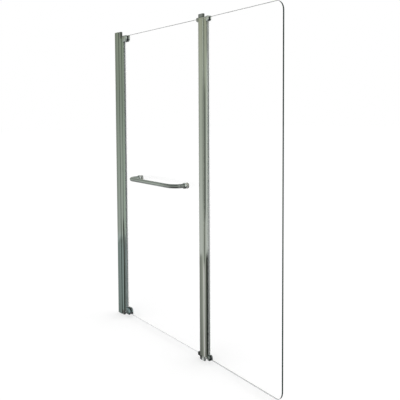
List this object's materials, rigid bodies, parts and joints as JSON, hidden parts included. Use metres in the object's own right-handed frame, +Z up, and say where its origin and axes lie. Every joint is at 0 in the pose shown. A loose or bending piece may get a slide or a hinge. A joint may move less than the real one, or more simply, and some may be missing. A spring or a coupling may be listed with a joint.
{
  "type": "shower screen",
  "caption": "Folding bath shower screen: two clear glass leaves on upright polished pivot posts, with a wall channel, corner clamps and a towel rail.",
  "frame": {"origin": "on the back of the wall channel, at mid-height, in the plane of the inner glass", "axes": "+X out from the wall along the screen, +Z up, -Y towards the side with the towel rail"},
  "size_m": [1.1999, 0.086, 1.4],
  "materials": {
    "polished_aluminium": "polished",
    "chrome_plate": "polished",
    "clear_glass": "polished",
    "clear_seal": "glossy",
    "clamp_rubber": "matte",
    "white_nylon": "matte",
    "screw_steel": "satin"
  },
  "bodies": {
    "wall_frame": {"wall_channel": "polished_aluminium", "channel_screw_1": "screw_steel", "channel_screw_2": "screw_steel", "channel_screw_3": "screw_steel", "wall_post": "polished_aluminium", "wall_post_cap_top": "chrome_plate", "wall_post_cap_bottom": "chrome_plate", "wall_pivot_pin_top": "screw_steel", "wall_pivot_pin_bottom": "screw_steel"},
    "inner_leaf": {"inner_pivot_tube": "polished_aluminium", "inner_pivot_bush_top": "white_nylon", "inner_pivot_bush_bottom": "white_nylon", "inner_clamp_top": "chrome_plate", "inner_clamp_bottom": "chrome_plate", "inner_clamp_plate_top": "chrome_plate", "inner_clamp_plate_bottom": "chrome_plate", "inner_clamp_gasket_top": "clamp_rubber", "inner_clamp_gasket_bottom": "clamp_rubber", "inner_clamp_screw_top": "screw_steel", "inner_clamp_screw_bottom": "screw_steel", "inner_seal": "clear_seal", "inner_glass": "clear_glass", "towel_rail": "chrome_plate", "rail_rosette_1": "chrome_plate", "rail_rosette_2": "chrome_plate", "rail_sleeve_1": "white_nylon", "rail_sleeve_2": "white_nylon", "rail_back_washer_1": "white_nylon", "rail_back_washer_2": "white_nylon", "rail_back_cap_1": "chrome_plate", "rail_back_cap_2": "chrome_plate", "fixed_clamp_top": "chrome_plate", "fixed_clamp_bottom": "chrome_plate", "fixed_clamp_gasket_top": "clamp_rubber", "fixed_clamp_gasket_bottom": "clamp_rubber", "fixed_clamp_screw_top": "screw_steel", "fixed_clamp_screw_bottom": "screw_steel", "fold_post_seal": "clear_seal", "fold_post": "polished_aluminium", "fold_post_cap_top": "chrome_plate", "fold_post_cap_bottom": "chrome_plate", "fold_pivot_pin_top": "screw_steel", "fold_pivot_pin_bottom": "screw_steel"},
    "outer_leaf": {"outer_pivot_tube": "polished_aluminium", "outer_pivot_bush_top": "white_nylon", "outer_pivot_bush_bottom": "white_nylon", "outer_clamp_top": "chrome_plate", "outer_clamp_bottom": "chrome_plate", "outer_clamp_gasket_top": "clamp_rubber", "outer_clamp_gasket_bottom": "clamp_rubber", "outer_clamp_screw_top": "screw_steel", "outer_clamp_screw_bottom": "screw_steel", "outer_seal": "clear_seal", "outer_glass": "clear_glass"}
  },
  "joints": [
    {"name": "inner_leaf_hinge", "type": "hinge", "parent": "wall_frame", "child": "inner_leaf", "pos_m": [0.0633, 0, 0], "axis": [0, 0, 1], "range_deg": [-80, 90]},
    {"name": "outer_leaf_hinge", "type": "hinge", "parent": "inner_leaf", "child": "outer_leaf", "pos_m": [0.748, 0, 0], "axis": [0, 0, 1], "range_deg": [-88.5, 91.5]}
  ]
}
